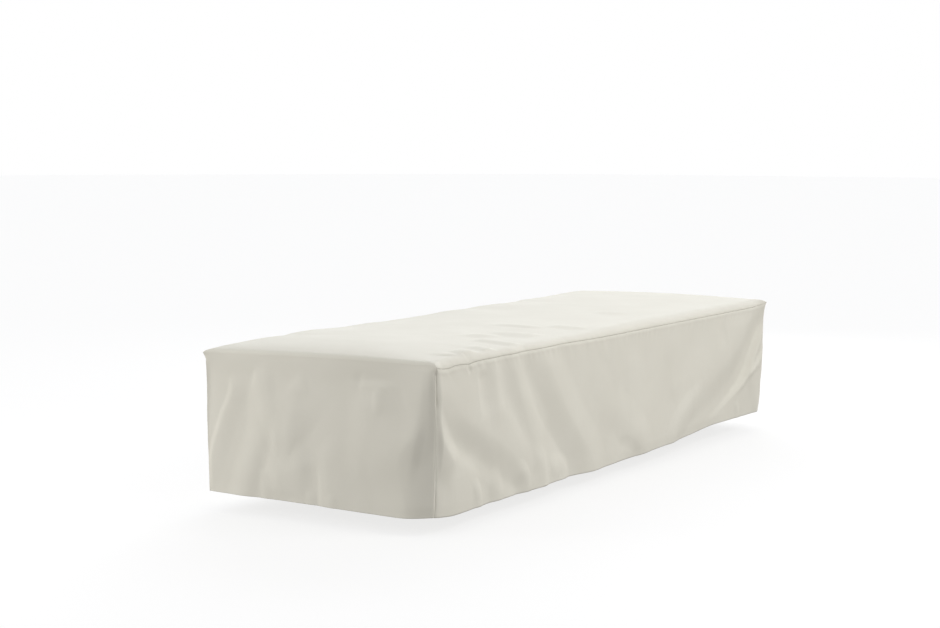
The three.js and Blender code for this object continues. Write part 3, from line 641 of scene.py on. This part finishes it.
panels = {
    "right": {"hand": 1, "folds": rightFolds, "seam": rightSeam, "hem": rightHem, "seed": 11,
              "settle": cornerSettle,
              "front": cornerInsets["frontRight"], "back": cornerInsets["backRight"]},
    "left": {"hand": -1, "folds": leftFolds, "seam": leftSeam, "hem": leftHem, "seed": 23,
             "settle": wideSettle,
             "front": cornerInsets["frontLeft"], "back": cornerInsets["backLeft"]},
}
ends = {
    "front": {"hand": -1, "folds": frontFolds, "hem": frontHem, "seed": 37,
              "roll": coverSizes["frontRoll"], "at": 0.0,
              "left": cornerInsets["frontLeft"], "right": cornerInsets["frontRight"]},
    "back": {"hand": 1, "folds": backFolds, "hem": backHem, "seed": 41,
             "roll": coverSizes["backRoll"], "at": coverSizes["topLength"],
             "left": cornerInsets["backLeft"], "right": cornerInsets["backRight"]},
}


# A side panel's outer face before its ears and seam looks: out by half the width, the folds and the
# swells, in by the corner insets and the hem's tuck, and down from the seam's level to the hem's
def plainSide(side, along, drop):
    length = coverSizes["topLength"]
    toBack = length - along
    fromEnd = np.minimum(along, toBack)
    inset = tableAt(side["front"], "x", drop) * settleAt(along, drop, side["settle"])
    inset = inset + tableAt(side["back"], "x", drop) * settleAt(toBack, drop, side["settle"])
    tuck = tuckAt(along, drop, side["seed"] + 5)
    folds = foldField(side["folds"], along, drop)
    folds = folds * eased(along / foldEdgeFade) * eased(toBack / backEdgeFade)
    folds = folds * mix(seamShareOfFold, 1, eased(drop / seamShareFade))
    fromSeam = np.minimum(fromEnd, drop)
    out = halfWidth(drop) + folds + swellField(along, drop, fromSeam, side["seed"]) - inset - tuck
    frontShift = tableAt(side["front"], "y", drop) * np.maximum(1 - along / cornerShift, 0) ** 2
    backShift = tableAt(side["back"], "y", drop) * np.maximum(1 - toBack / cornerShift, 0) ** 2
    reach = halfLength(drop)
    y = mix(-reach, reach, along / length) + frontShift - backShift
    top = coverSizes["seamLevel"] + tableAt(side["seam"], "rise", along)
    bottom = coverSizes["seamLevel"] - coverSizes["skirtDrop"] - tableAt(side["hem"], "longer", along)
    z = mix(top, bottom, drop / coverSizes["skirtDrop"])
    return np.stack(np.broadcast_arrays(side["hand"] * out, y, z), axis=-1)


# Pulls points towards the nearest top corner: by an exponential of the distance along the cloth
def pullEars(points, fromSide, fromEnd):
    pull = np.exp(-np.hypot(fromSide, fromEnd) / coverSizes["earFade"])
    reach = coverSizes["earReach"] * pull
    points[..., 0] += np.sign(points[..., 0]) * reach
    points[..., 1] += np.sign(points[..., 1]) * reach
    points[..., 2] += coverSizes["earLift"] * pull


# Draws both panels into the groove of their seam: inwards by a depth that falls off as an
# exponential of the distance from the seam, and varies along it
def drawSeam(points, hand, place, fromSeam, fromEnd, drop, width, seed):
    looks = seamLooks
    uneven = looks["uneven"] * swells(place, 0 * place, looks["unevenLength"], seed)
    depth = looks["grooveDepth"] * (1 + uneven)
    depth = depth * np.interp(drop, looks["uprightAt"], looks["uprightDepth"])
    depth = depth * np.interp(place, looks["alongAt"], looks["alongDepth"])
    dip = depth * np.exp(-fromSeam / width)
    points[..., 0] -= hand * dip
    points[..., 1] -= np.sign(points[..., 1]) * dip * (1 - eased(fromEnd / looks["turnOver"]))
    points[..., 2] -= dip * (1 - eased(drop / looks["turnOver"]))


# Low bump beside a seam: a bell curve of the distance from it
def bell(distance, centre, width):
    return np.exp(-((distance - centre) / width) ** 2)


# Small gathers across a seam: uneven along it, and times t exp(1 - t) of the distance t from it
def gathers(place, fromSeam, seed):
    reach = seamLooks["puckerReach"]
    shape = fromSeam / reach * np.exp(1 - fromSeam / reach)
    return seamLooks["pucker"] * swells(place, 0 * place, seamLooks["puckerLength"], seed) * shape


# Place along the seam line: less the drop on the front end, the distance along the top, and the
# length plus the drop on the back end
def seamPlace(along, drop):
    return along + drop * (2 * along / coverSizes["topLength"] - 1)


# A side panel's outer face with its ears, and its groove, lip and gathers beside the seams
def sidePanel(side, along, drop):
    points = plainSide(side, along, drop)
    fromEnd = np.minimum(along, coverSizes["topLength"] - along)
    fromSeam = np.minimum(fromEnd, drop)
    pullEars(points, drop, fromEnd)
    place = seamPlace(along, drop)
    drawSeam(points, side["hand"], place, fromSeam, fromEnd, drop, seamLooks["sideGroove"],
             side["seed"] + 2)
    lip = seamLooks["lipHeight"] * bell(drop, seamLooks["lipAt"], seamLooks["lipWidth"])
    gather = gathers(place, drop, side["seed"] + 3)
    points[..., 0] += side["hand"] * (gather + lip) * eased(fromEnd / seamLooks["endFade"])
    return points


# Height of the top's outer face: a line from its left height to its right one, plus a parabola
# that brings the middle to its own height
def topHeight(across, along):
    share = across / coverSizes["topWidth"]
    left = tableAt(leftEdge, "height", along)
    right = tableAt(topShape, "right", along)
    bulge = tableAt(topShape, "middle", along) - (left + right) / 2
    return coverSizes["topLevel"] + mix(left, right, share) + 4 * bulge * share * (1 - share)


# Radius of the turn at an end, tighter beside the long seams
def endRollAt(across, roll):
    fromSeam = np.minimum(across, coverSizes["topWidth"] - across)
    return mix(coverSizes["cornerRoll"], roll, eased(fromSeam / coverSizes["cornerRollWidth"]))


# Outer face of an end: its y anywhere, and its height away from the upright seams
def endFace(end, across, drop):
    width = coverSizes["topWidth"]
    fromSeam = np.minimum(across, width - across)
    fade = eased(fromSeam / foldEdgeFade) * eased(drop / foldEdgeFade)
    inset = tableAt(end["left"], "y", drop) * settleAt(across, drop, cornerSettle)
    inset = inset + tableAt(end["right"], "y", drop) * settleAt(width - across, drop, cornerSettle)
    folds = foldField(end["folds"], across, drop) * fade
    swell = swellField(across, drop, np.minimum(fromSeam, drop), end["seed"])
    tuck = tuckAt(across, drop, end["seed"] + 5)
    out = halfLength(drop) + folds + swell - inset - tuck
    top = topHeight(across, end["at"]) - endRollAt(across, end["roll"])
    bottom = coverSizes["seamLevel"] - coverSizes["skirtDrop"] - tableAt(end["hem"], "longer", across)
    return end["hand"] * out, mix(top, bottom, drop / coverSizes["skirtDrop"])


# Outer face of the top: its height, less a quarter circle turning down at each end, plus the
# wrinkles and swells, which ease off towards the seams and the ends
def topFace(across, along):
    toEnd = np.minimum(along, coverSizes["topLength"] - along)
    nearFront = along < coverSizes["topLength"] / 2
    roll = endRollAt(across, np.where(nearFront, coverSizes["frontRoll"], coverSizes["backRoll"]))
    turn = np.maximum(roll - toEnd, 0)
    sunk = roll - np.sqrt(roll ** 2 - turn ** 2)
    fromRight = coverSizes["topWidth"] - across
    fromSeam = np.minimum(across, fromRight)
    looks = topLooks
    inner = eased((fromSeam - looks["wrinkleFrom"]) / looks["wrinkleOver"])
    inner = inner * eased((toEnd - looks["wrinkleEndFrom"]) / looks["wrinkleEndOver"])
    swell = swellField(along, across, fromSeam - looks["swellFrom"], looks["seed"])
    swell = swell * eased((toEnd - looks["swellEndFrom"]) / looks["swellEndOver"])
    wrinkles = foldField(topFolds, along, fromRight) * inner
    return along - coverSizes["topLength"] / 2, topHeight(across, along) - sunk + swell + wrinkles


# Height near a long seam, as a share of the way up from it: a quarter of an ellipse on the top,
# and lower on the ends a gentler square
def turnShare(along, drop, fromSeam, nearRight):
    reach = np.where(nearRight, tableAt(topShape, "rightRoll", along),
                     tableAt(topShape, "leftRoll", along))
    outward = 1 - np.minimum(fromSeam / reach, 1)
    rolled = np.sqrt(1 - outward ** 2)
    gentle = 1 - outward ** 2
    return mix(rolled, gentle, eased(drop / gentleTurnDrop))


# The strip's seam looks: both grooves, then the gathers and, on the ends, a low ridge
def dressStrip(points, along, drop, endHand, fromSeam, nearRight, fromEnd, onCloth):
    looks = seamLooks
    place = seamPlace(along, drop)
    for side, part in ((panels["right"], nearRight), (panels["left"], ~nearRight)):
        chosen = points[part]
        upright = eased((drop[part] - looks["grooveFrom"]) / looks["grooveOver"])
        width = mix(looks["topGroove"], looks["uprightGroove"], upright)
        drawSeam(chosen, side["hand"], place[part], onCloth[part], fromEnd[part], drop[part],
                 width, side["seed"] + 2)
        points[part] = chosen
    ridge = looks["ridgeHeight"] * bell(fromSeam, looks["ridgeAt"], looks["ridgeWidth"])
    ridge = ridge * eased(fromSeam / looks["ridgeStart"])
    ridge = ridge * eased((drop - looks["ridgeFrom"]) / looks["ridgeOver"])
    gather = gathers(place, onCloth, looks["puckerSeed"]) * eased(fromEnd / looks["endFade"])
    points[..., 1] += endHand * ridge
    points[..., 2] += gather * looks["puckerShare"]
    points[..., 0] += np.where(nearRight, 1, -1) * gather * looks["puckerShare"]


# The strip's outer face: its x runs evenly from seam to seam, and its height turns down to them.
# endHand is -1 on the front end, 0 on the top and 1 on the back end.
def stripPanel(along, drop, endHand, across):
    width = coverSizes["topWidth"]
    rows = along[:, 0]
    seamLeft = plainSide(panels["left"], rows, drop[:, 0])[:, None, :]
    seamRight = plainSide(panels["right"], rows, drop[:, 0])[:, None, :]
    y = np.zeros(along.shape)
    z = np.zeros(along.shape)
    onTop = endHand[:, 0] == 0
    y[onTop], z[onTop] = topFace(across[onTop], along[onTop])
    for end in ends.values():
        here = endHand[:, 0] == end["hand"]
        y[here], z[here] = endFace(end, across[here], drop[here])
    fromRight = width - across
    nearRight = fromRight < across
    fromSeam = np.minimum(across, fromRight)
    seamZ = np.where(nearRight, seamRight[..., 2], seamLeft[..., 2])
    x = mix(seamLeft[..., 0], seamRight[..., 0], across / width)
    z = mix(seamZ, z, turnShare(along, drop, fromSeam, nearRight))
    points = np.stack([x, y, z], axis=-1)
    fromEnd = np.where(endHand == 0, np.minimum(along, coverSizes["topLength"] - along), 0.0)
    pullEars(points, fromSeam, np.where(endHand == 0, fromEnd, drop))
    onCloth = np.hypot(fromSeam, np.where(endHand == 0, points[..., 2] - seamZ, 0))
    dressStrip(points, along, drop, endHand, fromSeam, nearRight, fromEnd, onCloth)
    return points


# Turning grids of points into closed sheets


# Steps from nought through zones of (end of the zone, rough size of its cells)
def stations(zones):
    steps = [0.0]
    for upTo, size in zones:
        cells = max(1, round((upTo - steps[-1]) / size))
        steps.extend(np.linspace(steps[-1], upTo, cells + 1)[1:])
    return np.array(steps)


# Outward normals of a grid: the cross product of its slopes both ways
def gridNormals(grid, facing):
    normals = np.cross(np.gradient(grid, axis=1), np.gradient(grid, axis=0)) * facing
    return normals / np.maximum(np.linalg.norm(normals, axis=-1, keepdims=True), 1e-9)


# Faces of a closed sheet: its outer grid, its inner grid of every second point, and a wall between
# them of a triangle and a quad for each inner cell along the border. Both counts are odd.
def sheetFaces(rows, columns, facing):
    innerRows = (rows + 1) // 2
    innerColumns = (columns + 1) // 2
    count = rows * columns
    outside = np.arange(count).reshape(rows, columns)
    inside = count + np.arange(innerRows * innerColumns).reshape(innerRows, innerColumns)
    quads = np.stack([outside[:-1, :-1], outside[:-1, 1:], outside[1:, 1:], outside[1:, :-1]], axis=-1)
    lining = np.stack([inside[:-1, :-1], inside[1:, :-1], inside[1:, 1:], inside[:-1, 1:]], axis=-1)
    faces = quads.reshape(-1, 4).tolist() + lining.reshape(-1, 4).tolist()
    smoothFaces = len(faces)
    borders = [(outside[0, ::-1], inside[0, ::-1]), (outside[:, 0], inside[:, 0]),
               (outside[-1], inside[-1]), (outside[::-1, -1], inside[::-1, -1])]
    for edge, back in borders:
        first = np.stack([edge[0:-1:2], edge[1::2], back[:-1]], axis=-1)
        second = np.stack([edge[1::2], edge[2::2], back[1:], back[:-1]], axis=-1)
        faces += first.tolist() + second.tolist()
    if facing < 0:
        faces = [face[::-1] for face in faces]
    return faces, smoothFaces


# Gives each corner of the mesh its place on the flat cloth, in metres.
def addFlatMap(mesh, flat):
    flatPoints = np.concatenate([flat.reshape(-1, 2), flat[::2, ::2].reshape(-1, 2)]) * mm
    corners = np.zeros(len(mesh.loops), np.int32)
    mesh.loops.foreach_get("vertex_index", corners)
    layer = mesh.uv_layers.new(name="flatCloth")
    layer.data.foreach_set("uv", flatPoints[corners].ravel())


# A closed sheet: the outer grid, every second point of it moved in by the insets, and a wall between
def sheetPiece(name, outer, insets, flat, facing, material):
    rows, columns = outer.shape[:2]
    inner = (outer + insets)[::2, ::2]
    faces, smoothFaces = sheetFaces(rows, columns, facing)
    points = np.concatenate([outer.reshape(-1, 3), inner.reshape(-1, 3)]) * mm
    mesh = bpy.data.meshes.new(name)
    mesh.from_pydata(points, [], faces)
    mesh.polygons.foreach_set("use_smooth", np.arange(len(faces)) < smoothFaces)
    addFlatMap(mesh, flat)
    mesh.materials.append(material)
    mesh.update()
    piece = bpy.data.objects.new(name, mesh)
    bpy.context.scene.collection.objects.link(piece)
    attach(piece, "root")
    return piece


# The cloth's finish

clothFinish = {
    "cloth": {"Roughness": 0.85, "Specular IOR Level": 0.05},
    "shades": [(0.760, 0.742, 0.668), (0.785, 0.768, 0.695)],
    "shadesAt": [0.35, 0.68],
    "clouds": {"Scale": 5.0, "Detail": 4.0},
    "threads": {"Scale": 392.0, "Distortion": 0.6},       # one thread every 0.8 mm
    "threadBump": {"Strength": 0.5, "Distance": 0.00006},
    "dents": {"Scale": 34.0, "Detail": 3.0, "Roughness": 0.45},
    "dentBump": {"Strength": 0.5, "Distance": 0.0007},
}


# Faint clouds of colour between the two shades
def cloudColour(tree, finish):
    place = addNode(tree, "TexCoord")
    clouds = addNode(tree, "TexNoise", finish["clouds"])
    ramp = addNode(tree, "ValToRGB")
    for stop, at, colour in zip(ramp.color_ramp.elements, finish["shadesAt"], finish["shades"]):
        stop.position = at
        stop.color = (*colour, 1)
    tree.links.new(place.outputs["Object"], clouds.inputs["Vector"])
    tree.links.new(clouds.outputs["Fac"], ramp.inputs["Fac"])
    return ramp.outputs["Color"]


# Plain weave: two sets of bands across each other, multiplied
def weaveBump(tree, flat, finish):
    weave = addNode(tree, "Math")
    weave.operation = "MULTIPLY"
    for k, direction in enumerate(("X", "Y")):
        threads = addNode(tree, "TexWave", finish["threads"])
        threads.bands_direction = direction
        tree.links.new(flat.outputs["UV"], threads.inputs["Vector"])
        tree.links.new(threads.outputs["Fac"], weave.inputs[k])
    bump = addNode(tree, "Bump", finish["threadBump"])
    tree.links.new(weave.outputs["Value"], bump.inputs["Height"])
    return bump


# Coated cloth: faint clouds, the weave, and on it little dents and creases from handling
def clothMaterial(finish):
    material = bpy.data.materials.new("coatedCloth")
    material.use_nodes = True
    tree = material.node_tree
    link = tree.links.new
    shader = tree.nodes["Principled BSDF"]
    for name, value in finish["cloth"].items():
        shader.inputs[name].default_value = value
    flat = addNode(tree, "UVMap")
    flat.uv_map = "flatCloth"
    weave = weaveBump(tree, flat, finish)
    dents = addNode(tree, "TexNoise", finish["dents"])
    dentBump = addNode(tree, "Bump", finish["dentBump"])
    link(flat.outputs["UV"], dents.inputs["Vector"])
    link(dents.outputs["Fac"], dentBump.inputs["Height"])
    link(weave.outputs["Normal"], dentBump.inputs["Normal"])
    link(cloudColour(tree, finish), shader.inputs["Base Color"])
    link(dentBump.outputs["Normal"], shader.inputs["Normal"])
    return material


# The three panels

# Zones of (end of the zone, rough size of its cells), and the steps that lie closer together
gridSteps = {
    "fineDrop": [(6, 0.75), (14, 1.6), (26, 2.6), (371, 3.4)],
    "fineAlong": [(6, 0.75), (14, 1.6), (26, 2.6), (700, 3.2), (1300, 3.6), (2044, 4.4)],
    "plainDrop": [(6, 1.2), (26, 3.4), (371, 7.5)],
    "plainAlong": [(6, 1.2), (26, 3.4), (2044, 8.0)],
    "frontDrop": [(6, 0.75), (14, 1.6), (26, 2.6), (371, 3.6)],
    "backDrop": [(6, 1.2), (26, 3.4), (371, 8.0)],
    "topAlong": [(24, 1.7), (620, 4.6), (1400, 6.4), (2046, 9.0)],
    "endSteps": [0, 0.8, 1.6, 2.6, 3.8, 5.4, 7.4, 10, 13, 17, 21],
    "endGap": 1.0,            # other steps keep this far from them
    "rollWidth": 42.0,
    "rollTurns": 16,
    "grooveSteps": [0.5, 2.2, 3.6, 6.4],
    "middle": 5.7,
}


# Splits the first cell where the count of cells is odd.
def evenCells(steps):
    if len(steps) % 2 == 0:
        steps = np.insert(steps, 1, (steps[0] + steps[1]) / 2)
    return steps


# Ends the steps with the fine ones towards the back corner.
def withFineEnd(steps):
    tail = coverSizes["topLength"] - np.array(gridSteps["endSteps"])[::-1]
    return np.concatenate([steps[steps < tail[0] - gridSteps["endGap"]], tail])


# Columns of the strip: even turns of an arc beside each seam, with the groove's steps, then even
# cells between
def acrossStations():
    turns = np.linspace(0, math.pi / 2, gridSteps["rollTurns"] + 1)
    edge = gridSteps["rollWidth"] * (1 - np.cos(turns))
    edge = np.sort(np.concatenate([edge, gridSteps["grooveSteps"]]))
    width = coverSizes["topWidth"]
    cells = round((width - 2 * edge[-1]) / gridSteps["middle"])
    middle = np.linspace(edge[-1], width - edge[-1], cells + 1)[1:-1]
    return evenCells(np.concatenate([edge, middle, (width - edge)[::-1]]))


# The strip's rows: up the front end, along the top and down the back end
def stripRows(alongSteps):
    frontDrop = stations(gridSteps["frontDrop"])[1:][::-1]
    backDrop = stations(gridSteps["backDrop"])[1:]
    length = coverSizes["topLength"]
    along = np.concatenate([0 * frontDrop, alongSteps, 0 * backDrop + length])
    drop = np.concatenate([frontDrop, 0 * alongSteps, backDrop])
    hand = np.concatenate([0 * frontDrop - 1, 0 * alongSteps, 0 * backDrop + 1])
    if len(along) % 2 == 0:
        along = np.insert(along, 1, along[1])
        drop = np.insert(drop, 1, (drop[0] + drop[1]) / 2)
        hand = np.insert(hand, 1, -1)
    return along, drop, hand


# The strip, drawn back a little from both seam lines
def buildStrip(material):
    rowAlong, rowDrop, rowHand = stripRows(withFineEnd(stations(gridSteps["topAlong"])))
    acrossSteps = acrossStations()
    across = np.broadcast_to(acrossSteps, (len(rowAlong), len(acrossSteps)))
    along = np.broadcast_to(rowAlong[:, None], across.shape)
    drop = np.broadcast_to(rowDrop[:, None], across.shape)
    hand = np.broadcast_to(rowHand[:, None], across.shape)
    outer = stripPanel(along, drop, hand, across)
    insets = -gridNormals(outer, 1) * coverSizes["clothThickness"]
    gap = coverSizes["sheetGap"]
    outer[:, 0, 0] += gap
    outer[:, -1, 0] -= gap
    flat = np.stack([across, along + hand * drop], axis=-1)
    return sheetPiece("centreCloth", outer, insets, flat, 1, material)


# A side panel, drawn back a little from its top seam and its upright ones
def buildSide(name, side, fineness, material):
    alongSteps = evenCells(withFineEnd(stations(gridSteps[fineness + "Along"])))
    dropSteps = evenCells(stations(gridSteps[fineness + "Drop"]))
    along, drop = np.meshgrid(alongSteps, dropSteps)
    outer = sidePanel(side, along, drop)
    facing = -side["hand"]
    insets = -gridNormals(outer, facing) * coverSizes["clothThickness"]
    gap = coverSizes["sheetGap"]
    outer[0, :, 2] -= gap
    outer[:, 0, 1] += gap
    outer[:, -1, 1] -= gap
    flat = np.stack([along, drop], axis=-1)
    return sheetPiece(name, outer, insets, flat, facing, material)


cloth = clothMaterial(clothFinish)
centreCloth = buildStrip(cloth)
print("centre cloth", len(centreCloth.data.polygons), "faces")
rightCloth = buildSide("rightSideCloth", panels["right"], "fine", cloth)
print("right side cloth", len(rightCloth.data.polygons), "faces")
leftCloth = buildSide("leftSideCloth", panels["left"], "plain", cloth)
print("left side cloth", len(leftCloth.data.polygons), "faces")

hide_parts("centre_panel")
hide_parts("right_side_panel")
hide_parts("left_side_panel")
